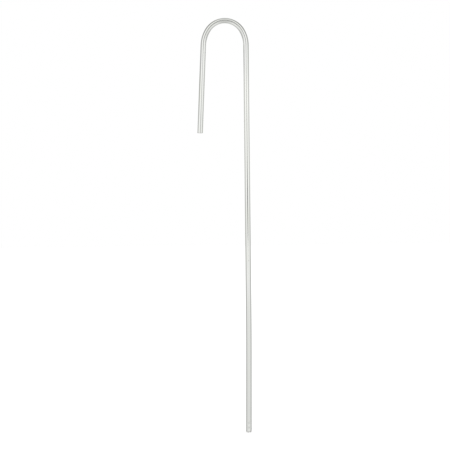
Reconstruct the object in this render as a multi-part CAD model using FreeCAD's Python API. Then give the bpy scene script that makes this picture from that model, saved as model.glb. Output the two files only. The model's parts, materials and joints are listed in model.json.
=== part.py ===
import FreeCAD, Part
import math
import os

# A hook-topped tent stake: one length of round steel wire, cut to length and cold-bent. Millimetres and degrees.
# The tip of the shank is the origin, the shank runs up +Z, and the hook turns over towards -X in the XZ plane.

# Driving dimensions
wire_diameter = 3.2
overall_height = 228.6     # from the tip to the outside of the hook's crown
crown_radius = 11.0        # the wire's centreline over the top of the hook
shoulder_radius = 16.5     # the wire's centreline where the bend eases into each leg
shoulder_turn = 29.0       # the share of the bend that each shoulder makes
prong_flare = 2.7          # how far the returned prong opens outwards from the shank's direction
prong_end_height = 165.1   # the prong's cut end, above the tip
end_chamfer = 0.15         # the broken edge round both cut ends
bevel_depth = 0.6          # the cutter's bevel on one side of the tip: how far it reaches across the wire
bevel_height = 2.2         # and how far it reaches up the shank
bevel_turn = 21.0          # how far round the shank the bevel faces, from straight away from the prong
cut_overrun = 1.0          # how far the bevel's cutting wedge runs past the wire

# Worked out from them
wire_radius = wire_diameter / 2
whole_turn = 180 - prong_flare
crown_turn = whole_turn - 2 * shoulder_turn
shoulder_rise = shoulder_radius * math.sin(math.radians(shoulder_turn))
crown_rise = crown_radius * (1 - math.sin(math.radians(shoulder_turn)))
shank_length = overall_height - wire_radius - crown_rise - shoulder_rise

TIP = FreeCAD.Vector(0, 0, 0)
SHANK_AXIS = FreeCAD.Vector(0, 0, 1)
BEND_AXIS = FreeCAD.Vector(0, -1, 0)


def ahead(heading):
    """Unit vector along the wire: heading 0 runs up the shank, and 90 runs across the hook to the prong."""
    angle = math.radians(heading)
    return FreeCAD.Vector(-math.sin(angle), 0, math.cos(angle))


def bend_centre(start, heading, radius):
    """Centre of a bend that starts at a point of the centreline and turns the wire towards the prong."""
    return start + ahead(heading + 90) * radius


def bend_end(start, heading, radius, turn):
    """The centreline's point where such a bend ends."""
    return bend_centre(start, heading, radius) - ahead(heading + turn + 90) * radius


def bent_wire(start, heading, radius, turn):
    """A bent stretch of wire: the wire's round section turned about the bend's centre."""
    rim = Part.makeCircle(wire_radius, start, ahead(heading))
    section = Part.Face(Part.Wire(rim))
    return section.revolve(bend_centre(start, heading, radius), BEND_AXIS, turn)


def straight_wire(start, heading, length):
    """A straight stretch of wire."""
    return Part.makeCylinder(wire_radius, length, start, ahead(heading))


def chamfer_end(wire, cut_end):
    """Break the sharp edge round one cut end, whose centre is given."""
    rims = [edge for edge in wire.Edges if edge.CenterOfMass.distanceToPoint(cut_end) < end_chamfer]
    return wire.makeChamfer(end_chamfer, rims)


def tip_wedge():
    """The wedge that the cutter takes off the tip, roughly on the side away from the prong."""
    slope = bevel_depth / bevel_height
    low = wire_radius - bevel_depth - slope * cut_overrun
    high = wire_radius + slope * cut_overrun
    bottom = -cut_overrun
    top = bevel_height + cut_overrun
    back = -wire_radius - cut_overrun
    corners = [(low, back, bottom), (high, back, top), (high, back, bottom), (low, back, bottom)]
    outline = Part.makePolygon([FreeCAD.Vector(*corner) for corner in corners])
    wedge = Part.Face(outline).extrude(FreeCAD.Vector(0, wire_diameter + 2 * cut_overrun, 0))
    return wedge.rotated(TIP, SHANK_AXIS, -bevel_turn)


def stake_wire():
    """The whole stake: shank, shoulder, crown, shoulder and prong, one unbroken piece of wire."""
    stretches = [straight_wire(TIP, 0, shank_length)]
    place = TIP + ahead(0) * shank_length
    heading = 0
    bends = [(shoulder_radius, shoulder_turn), (crown_radius, crown_turn), (shoulder_radius, shoulder_turn)]
    for radius, turn in bends:
        stretches.append(bent_wire(place, heading, radius, turn))
        place = bend_end(place, heading, radius, turn)
        heading = heading + turn
    prong_length = (place.z - prong_end_height) / -ahead(heading).z
    stretches.append(straight_wire(place, heading, prong_length))
    prong_end = place + ahead(heading) * prong_length
    wire = stretches[0].fuse(stretches[1:]).removeSplitter()
    wire = chamfer_end(wire, TIP)
    wire = chamfer_end(wire, prong_end)
    wire = wire.cut(tip_wedge())
    centreline = shank_length + prong_length
    centreline += sum(math.radians(turn) * radius for radius, turn in bends)
    print("prong end", prong_end, "prong length", round(prong_length, 3), "heading", heading)
    print("wire length", round(centreline, 2), "volume", round(wire.Volume, 2))
    print("section times length", round(math.pi * wire_radius ** 2 * centreline, 2))
    return wire.Solids[0]


os.makedirs("parts", exist_ok=True)
stake_wire().exportStep("parts/stake_wire.step")
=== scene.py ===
import json
import math

import bmesh
import bpy
import numpy as np
from mathutils import Matrix, Vector


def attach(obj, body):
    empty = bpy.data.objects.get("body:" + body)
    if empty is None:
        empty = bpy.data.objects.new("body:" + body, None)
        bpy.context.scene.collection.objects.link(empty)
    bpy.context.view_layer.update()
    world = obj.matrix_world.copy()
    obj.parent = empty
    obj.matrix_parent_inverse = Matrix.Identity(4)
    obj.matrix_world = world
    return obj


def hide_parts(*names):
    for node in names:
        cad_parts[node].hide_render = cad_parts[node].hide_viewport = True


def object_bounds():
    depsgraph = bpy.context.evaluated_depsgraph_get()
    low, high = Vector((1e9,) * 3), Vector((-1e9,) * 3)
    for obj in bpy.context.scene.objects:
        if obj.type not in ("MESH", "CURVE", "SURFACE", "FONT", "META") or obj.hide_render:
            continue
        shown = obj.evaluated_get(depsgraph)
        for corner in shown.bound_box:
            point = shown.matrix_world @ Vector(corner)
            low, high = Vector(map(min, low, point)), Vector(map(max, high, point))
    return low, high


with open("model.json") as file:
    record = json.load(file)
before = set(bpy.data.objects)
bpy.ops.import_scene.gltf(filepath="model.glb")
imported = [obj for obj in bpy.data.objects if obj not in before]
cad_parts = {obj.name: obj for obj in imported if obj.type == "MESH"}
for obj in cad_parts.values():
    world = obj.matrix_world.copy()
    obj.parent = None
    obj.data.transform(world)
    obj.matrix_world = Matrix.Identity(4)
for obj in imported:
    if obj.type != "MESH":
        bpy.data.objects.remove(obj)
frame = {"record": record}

# A bright zinc-plated wire tent stake in a white studio. Lengths are in metres unless a name says otherwise.
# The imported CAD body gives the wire's diameter, its legs and its box. This script redraws the same wire with
# its plated surface, its bending and cutting marks, and the slight bend that its lower shank has.

cad_low, cad_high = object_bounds()
mounts = {mount["name"]: mount for mount in frame["record"]["mounts"]}
MM = 0.001

# ---- The wire's line, from the CAD -------------------------------------------------------------------------
WIRE_RADIUS = mounts["ground_shank"]["dims"]["r_mm"] * MM
CROWN_RADIUS = 11.0 * MM            # centreline radius over the top of the hook, as in the CAD
SHOULDER_RADIUS = 16.5 * MM         # centreline radius where the bend eases into each leg, as in the CAD
SHOULDER_TURN = math.radians(29)    # the turn that each shoulder makes, as in the CAD

prong_axis = mounts["return_prong"]["axis"]
prong_end = mounts["return_prong"]["pos_m"]
WHOLE_TURN = math.atan2(-prong_axis[0], prong_axis[2])
CROWN_TURN = WHOLE_TURN - 2 * SHOULDER_TURN
SHOULDER_RISE = SHOULDER_RADIUS * math.sin(SHOULDER_TURN)
CROWN_RISE = CROWN_RADIUS * (1 - math.sin(SHOULDER_TURN))
SHANK_LENGTH = cad_high.z - WIRE_RADIUS - CROWN_RISE - SHOULDER_RISE

SHOULDER_LENGTH = SHOULDER_RADIUS * SHOULDER_TURN
CROWN_LENGTH = CROWN_RADIUS * CROWN_TURN
BEND_LENGTH = 2 * SHOULDER_LENGTH + CROWN_LENGTH
BEND_MIDDLE = SHANK_LENGTH + BEND_LENGTH / 2

# ---- What the real wire adds to that line ------------------------------------------------------------------
KINK_HEIGHT = 54 * MM               # the lower shank is very slightly bent here
KINK_SPREAD = 12 * MM
KINK_ANGLE = math.radians(0.59)
EASE = 1.2 * MM                     # a wire's curvature can't jump, so it changes over about this length
CROWN_THINNING = 0.03 * MM          # how much bending thins the wire across the crown, on each side
PIN_FLAT = 0.08 * MM                # the burnished flat that the bending pin leaves inside the crown
GRIP_DENT = 0.05 * MM               # the dents that the cutter's jaws leave above the tip
GRIP_HEIGHTS = (2.1 * MM, 4.5 * MM)
GRIP_LENGTH = 0.8 * MM
JAWS = (0.55 * math.pi, 1.55 * math.pi)   # where round the wire the two jaws press, from the hook's inside
JAW_SPREAD = 0.7
TIP_DOME = 0.22 * MM                # the tip's cut face bulges by this much
TIP_ROUNDING = 0.12 * MM
TIP_BEVEL_DEPTH = 0.60 * MM         # the cutter's bevel, as in the CAD
TIP_BEVEL_HEIGHT = 2.2 * MM
TIP_BEVEL_TURN = math.radians(-21)  # how far round the wire the bevel faces from the hook's plane
PRONG_ROUNDING = 0.07 * MM
PRONG_BURR = 0.12 * MM              # the lip that the cutter leaves on the prong's outer side
DRAWN_WAVE = 0.0025 * MM            # the height of each of the two long waves that drawing leaves in the skin
SHORT_WAVE = 3.7 * MM               # how far along the wire each of them goes on by one radian
LONG_WAVE = 8.9 * MM
DRAWN_SINK = 3.2                    # how many such heights the skin lies under the CAD's, to stay in its box

# ---- How finely it is drawn --------------------------------------------------------------------------------
LINE_STEP = 0.05 * MM               # along the centreline
SIDES = 56                          # round the wire
END_RING = 0.03 * MM                # the skin's rings start this close together at a cut end,
RING_GROWTH = 0.07                  # grow apart by this share of their distance from it,
BEND_RING = 0.35 * MM               # and are at most this far apart in the bend and near it,
LEG_RING = 0.6 * MM                 # and this far along the legs
NEAR_BEND = 2 * MM
CAP_SHARES = (0.95, 0.88, 0.76, 0.6, 0.4, 0.2)   # the rings on a cut face, as shares of the wire's radius
SNAP = 0.002 * MM                   # a point this close to the bevel's plane counts as on it


def smooth(low, high, value):
    """0 below low, 1 above high, and a smooth step between."""
    share = np.clip((value - low) / (high - low), 0, 1)
    return share * share * (3 - 2 * share)


def bell(value, centre, width):
    """A soft hump, 1 at the centre and about a third at one width from it."""
    return np.exp(-((value - centre) / width) ** 2)


def curvature(along):
    """How sharply the wire turns towards the prong, at distances along it from the tip."""
    first = SHANK_LENGTH
    second = first + SHOULDER_LENGTH
    third = second + CROWN_LENGTH
    fourth = third + SHOULDER_LENGTH
    arcs = [(first, second, SHOULDER_RADIUS), (second, third, CROWN_RADIUS), (third, fourth, SHOULDER_RADIUS)]
    total = KINK_ANGLE * bell(along, KINK_HEIGHT, KINK_SPREAD) / (KINK_SPREAD * math.sqrt(math.pi))
    for start, end, radius in arcs:
        rising = smooth(start - EASE, start + EASE, along)
        falling = smooth(end - EASE, end + EASE, along)
        total += (rising - falling) / radius
    return total


def centreline():
    """Distances along the wire from the tip, and there the centre's X and Z and the heading.

    A heading of 0 runs up the shank, and half a turn runs down the prong. The shank's upper part lies on the
    CAD's axis, so the kink moves the tip towards the prong. The prong's end lies where the CAD has it."""
    longest = SHANK_LENGTH + BEND_LENGTH + cad_high.z - prong_end[2]
    along = np.arange(int(longest / LINE_STEP)) * LINE_STEP
    heading = np.cumsum(curvature(along)) * LINE_STEP - KINK_ANGLE
    across = np.cumsum(-np.sin(heading)) * LINE_STEP
    up = np.cumsum(np.cos(heading)) * LINE_STEP
    spring = SHANK_LENGTH - EASE
    across -= np.interp(spring, along, across)
    up += spring - np.interp(spring, along, up)
    kept = (along < BEND_MIDDLE) | (up > prong_end[2])
    across *= prong_end[0] / across[kept][-1]
    return along[kept], across[kept], up[kept], heading[kept]


line_along, line_across, line_up, line_heading = centreline()
WIRE_LENGTH = line_along[-1]


def ring_places():
    """Distances along the wire for the rings of its skin: close together at the cut ends and in the bend."""
    places = [TIP_DOME]
    while places[-1] < WIRE_LENGTH:
        here = places[-1]
        to_end = min(here, WIRE_LENGTH - here)
        from_bend = abs(here - BEND_MIDDLE) - BEND_LENGTH / 2
        step = END_RING + to_end * RING_GROWTH
        limit = BEND_RING if from_bend < NEAR_BEND else LEG_RING
        places.append(here + min(step, limit))
    return np.array(places[:-1] + [WIRE_LENGTH])


def skin_radius(place, angle):
    """The wire's radius at distances along it and angles round it; angle 0 faces the inside of the hook."""
    radius = np.full(np.broadcast(place, angle).shape, WIRE_RADIUS)
    in_crown = smooth(BEND_LENGTH / 3, BEND_LENGTH / 12, np.abs(place - BEND_MIDDLE))
    radius -= CROWN_THINNING * in_crown * np.cos(angle) ** 2
    from_inside = np.angle(np.exp(1j * angle))
    radius -= PIN_FLAT * in_crown * bell(from_inside, 0, 0.4)
    short_wave = np.sin(place / SHORT_WAVE + 1.3 * np.sin(angle + 0.6))
    long_wave = np.sin(place / LONG_WAVE + 2 * np.cos(angle))
    radius -= DRAWN_WAVE * (DRAWN_SINK + (short_wave + long_wave))
    jaws = np.maximum(bell(angle, JAWS[0], JAW_SPREAD), bell(angle, JAWS[1], JAW_SPREAD))
    for height in GRIP_HEIGHTS:
        radius -= GRIP_DENT * bell(place, height, GRIP_LENGTH) * jaws
    radius -= TIP_ROUNDING * (1 - smooth(0, 2 * TIP_ROUNDING, place - TIP_DOME)) ** 2
    radius -= PRONG_ROUNDING * (1 - smooth(0, 2 * PRONG_ROUNDING, WIRE_LENGTH - place)) ** 2
    return radius


def straight_wire():
    """The unbent wire's skin as rings of points: towards the hook's inside, sideways, and along the wire.

    The first and last few rings close in on the middles of the two cut ends."""
    angle = np.arange(SIDES) * 2 * math.pi / SIDES
    places = ring_places()
    skin = skin_radius(places[:, None], angle)
    shares = np.array(CAP_SHARES)[:, None]
    tip_place = (TIP_DOME * shares ** 2 + 0 * angle)[::-1]
    prong_place = WIRE_LENGTH + PRONG_BURR * bell(angle, math.pi, 0.8) * smooth(0.7, 1.0, shares)
    place = np.vstack([tip_place, places[:, None] + 0 * angle, prong_place])
    radius = np.vstack([(skin[0] * shares)[::-1], skin, skin[-1] * shares])
    return np.stack([radius * np.cos(angle), radius * np.sin(angle), place], axis=-1)


def bend(points):
    """Where points of the unbent wire come to lie once the wire is bent to its line."""
    inwards, sideways, place = points.T
    on_line = np.minimum(place, WIRE_LENGTH)
    past_end = place - on_line
    heading = np.interp(on_line, line_along, line_heading)
    x = np.interp(on_line, line_along, line_across) - np.cos(heading) * inwards - np.sin(heading) * past_end
    z = np.interp(on_line, line_along, line_up) - np.sin(heading) * inwards + np.cos(heading) * past_end
    return np.stack([x, -sideways, z], axis=-1)


def cut_bevel(form, bare):
    """The cutter's bevel on the tip of the unbent wire: a flat of bare steel with a crisp edge."""
    outwards = Matrix.Rotation(TIP_BEVEL_TURN, 3, "Z") @ Vector((-1, 0, 0))
    slope = TIP_BEVEL_DEPTH / TIP_BEVEL_HEIGHT
    edge = outwards * (WIRE_RADIUS - TIP_BEVEL_DEPTH)
    whole = form.verts[:] + form.edges[:] + form.faces[:]
    cut = bmesh.ops.bisect_plane(form, geom=whole, dist=SNAP, plane_co=edge,
                                 plane_no=outwards - slope * Vector((0, 0, 1)), clear_outer=True)
    rim = [item for item in cut["geom_cut"] if isinstance(item, bmesh.types.BMEdge)]
    flat = bmesh.ops.edgeloop_fill(form, edges=rim)["faces"]
    for face in bmesh.ops.poke(form, faces=flat)["faces"]:
        face[bare] = 1.0
    for border in rim:
        border.smooth = False


def stake_wire(material):
    """The stake as one closed mesh: made straight, cut, then bent. Each point also keeps its place on the
    unbent wire, and each face how bare of zinc it is, for the material to read."""
    points = straight_wire()
    rings = len(points)
    caps = len(CAP_SHARES)
    form = bmesh.new()
    bare = form.faces.layers.float.new("bare")
    corners = [[form.verts.new(corner) for corner in ring] for ring in points.tolist()]
    for first in range(rings - 1):
        cut_face = first < caps or first >= rings - caps - 1
        for side in range(SIDES):
            beside = (side + 1) % SIDES
            quad = (corners[first][side], corners[first][beside], corners[first + 1][beside],
                    corners[first + 1][side])
            form.faces.new(quad)[bare] = float(cut_face)
    form.faces.new(corners[0][::-1])[bare] = 1.0
    form.faces.new(corners[-1])[bare] = 1.0
    cut_bevel(form, bare)
    bmesh.ops.recalc_face_normals(form, faces=form.faces[:])
    mesh = bpy.data.meshes.new("stake_wire_finished")
    form.to_mesh(mesh)
    form.free()
    unbent = np.empty(len(mesh.vertices) * 3, dtype=np.float32)
    mesh.vertices.foreach_get("co", unbent)
    mesh.attributes.new("unbent", "FLOAT_VECTOR", "POINT").data.foreach_set("vector", unbent)
    mesh.vertices.foreach_set("co", bend(unbent.reshape(-1, 3).astype(float)).astype(np.float32).ravel())
    mesh.polygons.foreach_set("use_smooth", [True] * len(mesh.polygons))
    mesh.materials.append(material)
    mesh.update()
    stake = bpy.data.objects.new("stake_wire_finished", mesh)
    bpy.context.scene.collection.objects.link(stake)
    return stake


# ---- Materials ---------------------------------------------------------------------------------------------
PALE_STARTS = (122 * MM, 138 * MM)  # the paler stretch of the shank comes in between these two heights,
PALE_ENDS = (188 * MM, 202 * MM)    # and goes out between these
GREY_ENDS = (66 * MM, 84 * MM)      # the greyer stretch reaches from the tip to here
BUMP_HEIGHT = 0.0007 * MM           # how deep the drawing lines are


class Nodes:
    """A few short ways to add and join shader nodes."""

    def __init__(self, tree):
        self.tree = tree

    def add(self, kind, settings=None, **inputs):
        node = self.tree.nodes.new(kind)
        for name, value in (settings or {}).items():
            setattr(node, name, value)
        for name, value in inputs.items():
            self.put(node.inputs[name.replace("_", " ")], value)
        return node

    def put(self, socket, value):
        if isinstance(value, bpy.types.NodeSocket):
            self.tree.links.new(value, socket)
        else:
            socket.default_value = value

    def maths(self, operation, first, second=0.0, third=0.0, clamp=False):
        node = self.tree.nodes.new("ShaderNodeMath")
        node.operation = operation
        node.use_clamp = clamp
        for socket, value in zip(node.inputs, (first, second, third)):
            self.put(socket, value)
        return node.outputs[0]

    def scaled(self, vector, factors):
        node = self.add("ShaderNodeVectorMath", {"operation": "MULTIPLY"})
        self.put(node.inputs[0], vector)
        self.put(node.inputs[1], factors)
        return node.outputs[0]

    def noise(self, vector, detail=2.0, roughness=0.5):
        node = self.add("ShaderNodeTexNoise", Vector=vector, Scale=1.0, Detail=detail, Roughness=roughness)
        return node.outputs["Fac"]

    def between(self, value, low, high, to_low=0.0, to_high=1.0):
        """A smooth step from one number to another, by default from 0 to 1."""
        node = self.add("ShaderNodeMapRange", {"interpolation_type": "SMOOTHSTEP"}, Value=value)
        for name, number in (("From Min", low), ("From Max", high), ("To Min", to_low), ("To Max", to_high)):
            node.inputs[name].default_value = number
        return node.outputs[0]

    def fade(self, value, low, high):
        """A smooth step down from 1 to 0."""
        return self.between(value, low, high, 1.0, 0.0)

    def colour_mix(self, share, first, second):
        node = self.add("ShaderNodeMix", {"data_type": "RGBA"})
        for socket, value in zip((node.inputs[0], node.inputs[6], node.inputs[7]), (share, first, second)):
            self.put(socket, value)
        return node.outputs[2]

    def card(self, *masks, tone):
        """A factor that is this tone where all the masks are 1, and 1 where any of them is 0."""
        share = masks[0]
        for mask in masks[1:]:
            share = self.maths("MULTIPLY", share, mask)
        return self.maths("MULTIPLY_ADD", share, tone - 1.0, 1.0)


def per_mm(around, lengthwise):
    """Texture scales for features of these sizes across and along the unbent wire, in millimetres."""
    return (1 / (around * MM), 1 / (around * MM), 1 / (lengthwise * MM))


def zinc_material():
    """Bright zinc plate on drawn wire: soft clouds with the faintest tints, lengthwise drawing lines, small
    nicks and scuffs, a paler stretch and a greyer one of the shank, and bare cut steel at the ends."""
    material = bpy.data.materials.new("zinc_plated_wire")
    material.use_nodes = True
    nodes = Nodes(material.node_tree)
    shader = material.node_tree.nodes["Principled BSDF"]
    unbent = nodes.add("ShaderNodeAttribute", {"attribute_name": "unbent"}).outputs["Vector"]
    bare = nodes.add("ShaderNodeAttribute", {"attribute_name": "bare"}).outputs["Fac"]

    clouds = nodes.noise(nodes.scaled(unbent, per_mm(1.8, 11.0)), detail=3.0)
    tints = nodes.noise(nodes.scaled(unbent, per_mm(2.6, 23.0)), detail=1.0)
    lines = nodes.noise(nodes.scaled(unbent, per_mm(0.16, 16.0)), detail=2.0, roughness=0.6)
    grain = nodes.noise(nodes.scaled(unbent, per_mm(0.22, 0.30)), detail=1.0)
    shear = nodes.noise(nodes.scaled(unbent, (1 / (0.5 * MM), 1 / (0.08 * MM), 1 / (0.5 * MM))), detail=2.0)

    crooked = nodes.noise(nodes.scaled(unbent, per_mm(0.35, 0.5)), detail=1.0)
    crooked = nodes.maths("MULTIPLY_ADD", crooked, 0.5, -0.25)
    cells = nodes.add("ShaderNodeTexVoronoi", {"feature": "F1"}, Scale=1.0)
    nodes.put(cells.inputs["Vector"], nodes.scaled(unbent, per_mm(1.6, 4.5)))
    chance = nodes.add("ShaderNodeSeparateColor", Color=cells.outputs["Color"])
    size = nodes.between(chance.outputs["Red"], 0.5, 1.0, 0.0, 0.13)
    reach = nodes.maths("MULTIPLY_ADD", crooked, size, cells.outputs["Distance"])
    out_of_nick = nodes.maths("DIVIDE", reach, nodes.maths("ADD", size, 0.001))
    nicks = nodes.between(nodes.maths("SUBTRACT", 1.0, out_of_nick, clamp=True), 0.0, 0.5)
    scuffs = nodes.noise(nodes.scaled(unbent, per_mm(0.25, 5.0)), detail=2.0)
    scuffs = nodes.maths("MULTIPLY", nodes.between(scuffs, 0.66, 0.74), nodes.between(clouds, 0.45, 0.6))

    along = nodes.add("ShaderNodeSeparateXYZ", Vector=unbent).outputs["Z"]
    pale = nodes.maths("MULTIPLY", nodes.between(along, *PALE_STARTS), nodes.fade(along, *PALE_ENDS))
    grey = nodes.fade(along, *GREY_ENDS)

    cloudy = nodes.between(clouds, 0.35, 0.65)
    zinc = nodes.colour_mix(cloudy, (0.790, 0.800, 0.772, 1), (0.825, 0.835, 0.805, 1))
    zinc = nodes.colour_mix(nodes.between(tints, 0.50, 0.75, 0.0, 0.5), zinc, (0.800, 0.800, 0.815, 1))
    zinc = nodes.colour_mix(nodes.between(tints, 0.50, 0.25, 0.0, 0.5), zinc, (0.815, 0.833, 0.755, 1))
    zinc = nodes.colour_mix(nodes.maths("MULTIPLY", pale, 0.9), zinc, (0.870, 0.880, 0.842, 1))
    zinc = nodes.colour_mix(nodes.maths("MULTIPLY", grey, 0.7), zinc, (0.765, 0.775, 0.750, 1))
    zinc = nodes.colour_mix(nodes.between(lines, 0.45, 0.70, 0.0, 0.5), zinc, (0.745, 0.755, 0.730, 1))
    worn = nodes.maths("MAXIMUM", nicks, nodes.maths("MULTIPLY", scuffs, 0.6))
    zinc = nodes.colour_mix(nodes.maths("MULTIPLY", worn, 0.45), zinc, (0.55, 0.55, 0.53, 1))
    steel = nodes.colour_mix(nodes.between(shear, 0.35, 0.65), (0.48, 0.475, 0.46, 1), (0.62, 0.615, 0.60, 1))
    nodes.put(shader.inputs["Base Color"], nodes.colour_mix(bare, zinc, steel))
    shader.inputs["Metallic"].default_value = 1.0

    rough = nodes.maths("MULTIPLY_ADD", clouds, 0.04, 0.045)
    rough = nodes.maths("MULTIPLY_ADD", pale, 0.045, rough)
    rough = nodes.maths("MULTIPLY_ADD", grey, 0.03, rough)
    rough = nodes.maths("MULTIPLY_ADD", lines, 0.03, rough)
    rough = nodes.maths("MULTIPLY_ADD", worn, 0.15, rough)
    rough = nodes.maths("MULTIPLY_ADD", bare, 0.25, rough)
    nodes.put(shader.inputs["Roughness"], rough)

    height = nodes.maths("MULTIPLY_ADD", grain, 0.3, lines)
    height = nodes.maths("MULTIPLY_ADD", worn, -6.0, height)
    height = nodes.maths("MULTIPLY_ADD", nodes.maths("MULTIPLY", shear, bare), 12.0, height)
    bump = nodes.add("ShaderNodeBump", Strength=1.0, Distance=BUMP_HEIGHT, Height=height)
    nodes.put(shader.inputs["Normal"], bump.outputs["Normal"])
    return material


def floor_material():
    """Smooth matt white studio board, with a faint unevenness."""
    material = bpy.data.materials.new("studio_floor")
    material.use_nodes = True
    nodes = Nodes(material.node_tree)
    shader = material.node_tree.nodes["Principled BSDF"]
    place = nodes.add("ShaderNodeTexCoord").outputs["Object"]
    patches = nodes.noise(nodes.scaled(place, (3.0, 3.0, 3.0)))
    white = nodes.colour_mix(patches, (0.93, 0.93, 0.93, 1), (0.95, 0.95, 0.95, 1))
    nodes.put(shader.inputs["Base Color"], white)
    shader.inputs["Roughness"].default_value = 0.9
    shader.inputs["Specular IOR Level"].default_value = 0.0
    return material


# ---- The studio --------------------------------------------------------------------------------------------
LENS = 100.0                        # the camera's focal length, in millimetres as Blender has it,
SENSOR = 36.0                       # and its sensor's width, likewise
FIELD = 248.25 * MM                 # how much of the object's plane the picture spans
DISTANCE = FIELD * LENS / SENSOR
CAMERA_LEAN = math.radians(0.587)   # the camera is turned this little about its own axis,
CAMERA_ASIDE = 0.31 * MM            # and stands this little beside the middle of the object's box
CAMERA_DROP = 0.03 * MM             # and below it


def studio_world():
    """White all round for the eye and for the floor. What the metal mirrors is a light tent: bright in front,
    greyer round the sides and white behind, with a few soft cards."""
    world = bpy.data.worlds.new("studio")
    bpy.context.scene.world = world
    world.use_nodes = True
    world.cycles.sampling_method = "NONE"   # the tent is found by reflection alone
    nodes = Nodes(world.node_tree)
    background = world.node_tree.nodes["Background"]
    direction = nodes.add("ShaderNodeSeparateXYZ")
    nodes.put(direction.inputs[0], nodes.add("ShaderNodeTexCoord").outputs["Generated"])
    right, back, up = direction.outputs
    front = nodes.maths("MULTIPLY", back, -1.0)
    aside = nodes.maths("ABSOLUTE", right)

    tent = nodes.add("ShaderNodeValToRGB", Fac=nodes.maths("MULTIPLY_ADD", front, 0.5, 0.5))
    ramp = tent.color_ramp
    ramp.interpolation = "EASE"
    stops = [(0.0, 1.0), (0.09, 1.0), (0.18, 0.56), (0.60, 0.61), (0.78, 1.0), (1.0, 1.0)]
    while len(ramp.elements) < len(stops):
        ramp.elements.new(0.5)
    for element, (place, tone) in zip(ramp.elements, stops):
        element.position = place
        element.color = (tone, tone, tone, 1)

    off_front = nodes.fade(front, 0.3, 0.8)
    high_aside = nodes.between(aside, 0.12, 0.35)
    well_aside = nodes.between(aside, 0.25, 0.6)
    tone = tent.outputs["Color"]
    ceiling = nodes.card(nodes.between(up, 0.25, 0.6), off_front, tone=0.85)
    side_walls = nodes.card(nodes.between(up, 0.11, 0.15), well_aside, off_front, tone=0.76)
    top_corners = nodes.card(nodes.between(up, 0.4, 0.8), high_aside, off_front, tone=0.84)
    table = nodes.card(nodes.fade(up, -0.6, -0.25), nodes.fade(front, 0.5, 0.9), tone=1.22)
    table_middle = nodes.card(nodes.fade(up, -0.85, -0.6), nodes.fade(aside, 0.2, 0.45), tone=0.95)
    for factor in (ceiling, side_walls, top_corners, table, table_middle):
        tone = nodes.maths("MULTIPLY", tone, factor)
    level = nodes.maths("MAXIMUM", nodes.maths("MINIMUM", up, 0.16), -0.16)
    tone = nodes.maths("MULTIPLY", tone, nodes.maths("MULTIPLY_ADD", level, 0.76, 1.04))

    path = nodes.add("ShaderNodeLightPath")
    glossy = path.outputs["Is Glossy Ray"]
    nodes.put(background.inputs["Color"], nodes.colour_mix(glossy, (1, 1, 1, 1), tone))
    diffuse = path.outputs["Is Diffuse Ray"]
    nodes.put(background.inputs["Strength"], nodes.maths("MULTIPLY_ADD", diffuse, 0.25, 1.0))


def sheet(name, corners, material):
    """A flat sheet with these four corners."""
    mesh = bpy.data.meshes.new(name)
    mesh.from_pydata(corners, [], [(0, 1, 2, 3)])
    mesh.materials.append(material)
    flat = bpy.data.objects.new(name, mesh)
    bpy.context.scene.collection.objects.link(flat)
    return flat


def studio_floor():
    """A floor far wider than the view, which the metal doesn't mirror."""
    reach = 6.0
    corners = [(-reach, -reach, 0), (reach, -reach, 0), (reach, reach, 0), (-reach, reach, 0)]
    floor = sheet("floor", corners, floor_material())
    floor.visible_glossy = False


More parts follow.
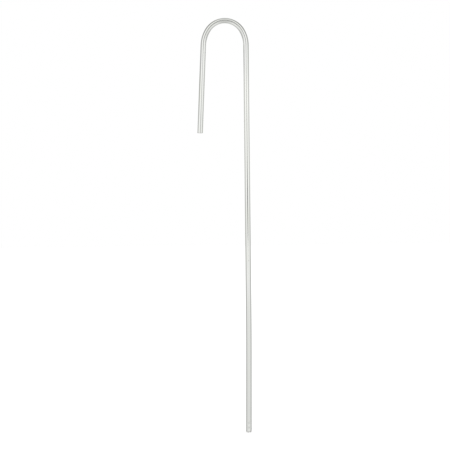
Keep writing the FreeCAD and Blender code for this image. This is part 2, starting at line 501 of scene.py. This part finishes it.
def front_material():
    """Clear film with soft grey cards on it, which darken what the metal mirrors round the camera: the lens,
    a tall column and a round hood behind it, a bar and a stub beside it, and a foot and a shelf below. Each
    pair of numbers is where a card's soft edge begins and ends, in metres across from the shank or up from
    the floor."""
    material = bpy.data.materials.new("tent_front")
    material.use_nodes = True
    tree = material.node_tree
    nodes = Nodes(tree)
    place = nodes.add("ShaderNodeSeparateXYZ", Vector=nodes.add("ShaderNodeTexCoord").outputs["Object"])
    across = place.outputs["X"]
    height = place.outputs["Z"]
    aside = nodes.maths("ABSOLUTE", across)

    def span(centre, centre_height, flatness):
        """How far a point of the film is from a centre, in a measure that counts less across than up."""
        rise = nodes.maths("POWER", nodes.maths("SUBTRACT", height, centre_height), 2.0)
        wide = nodes.maths("POWER", nodes.maths("MULTIPLY_ADD", across, flatness, -centre * flatness), 2.0)
        return nodes.maths("SQRT", nodes.maths("ADD", rise, wide))

    from_bar = nodes.maths("ABSOLUTE", nodes.maths("SUBTRACT", across, 0.05))
    from_stub = nodes.maths("ABSOLUTE", nodes.maths("SUBTRACT", across, 0.19))
    column = nodes.card(nodes.fade(aside, 0.12, 0.20), nodes.between(height, 0.09, 0.11),
                        nodes.fade(height, 0.3, 2.0), tone=0.60)
    hood = nodes.card(nodes.fade(span(-0.03, 0.32, 0.9), 0.07, 0.25), nodes.between(height, 0.30, 0.33),
                      tone=0.31)
    lens = nodes.card(nodes.fade(span(-0.03, 0.152, 0.16), 0.013, 0.032), tone=0.14)
    bar = nodes.card(nodes.fade(from_bar, 0.12, 0.32), nodes.between(height, 0.085, 0.105),
                     nodes.fade(height, 0.160, 0.175), tone=0.66)
    stub = nodes.card(nodes.fade(from_stub, 0.09, 0.16), nodes.between(height, 0.155, 0.175),
                      nodes.fade(height, 0.22, 0.26), tone=0.73)
    foot = nodes.card(nodes.fade(aside, 0.11, 0.24), nodes.fade(height, 0.02, 0.035), tone=0.93)
    shelf = nodes.card(nodes.fade(aside, 0.20, 0.45), nodes.fade(height, -0.24, -0.10), tone=0.72)
    tone = column
    for factor in (hood, lens, bar, stub, foot, shelf):
        tone = nodes.maths("MULTIPLY", tone, factor)
    output = tree.nodes["Material Output"]
    nodes.put(output.inputs["Surface"], nodes.add("ShaderNodeBsdfTransparent", Color=tone).outputs[0])
    tree.nodes.remove(tree.nodes["Principled BSDF"])
    return material


def tent_front():
    """The tent's front, level with the camera: a film that only mirrored rays meet."""
    reach = 3.0
    corners = [(-reach, -DISTANCE, -reach), (reach, -DISTANCE, -reach), (reach, -DISTANCE, reach),
               (-reach, -DISTANCE, reach)]
    front = sheet("tent_front", corners, front_material())
    front.visible_camera = False
    front.visible_diffuse = False
    front.visible_shadow = False
    front.visible_transmission = False
    front.visible_volume_scatter = False


def camera():
    """Level with the stake's middle and square to the hook, turned a little so that the shank leans."""
    aim = (cad_low + cad_high) / 2
    data = bpy.data.cameras.new("camera")
    data.lens = LENS
    data.sensor_width = SENSOR
    eye = bpy.data.objects.new("camera", data)
    bpy.context.scene.collection.objects.link(eye)
    eye.location = (aim.x + CAMERA_ASIDE, aim.y - DISTANCE, aim.z - CAMERA_DROP)
    eye.rotation_euler = (math.pi / 2, CAMERA_LEAN, 0)
    bpy.context.scene.camera = eye


bpy.context.scene.view_settings.view_transform = "Standard"
studio_world()
studio_floor()
tent_front()
camera()

stake = stake_wire(zinc_material())
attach(stake, "root")
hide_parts("stake_wire")
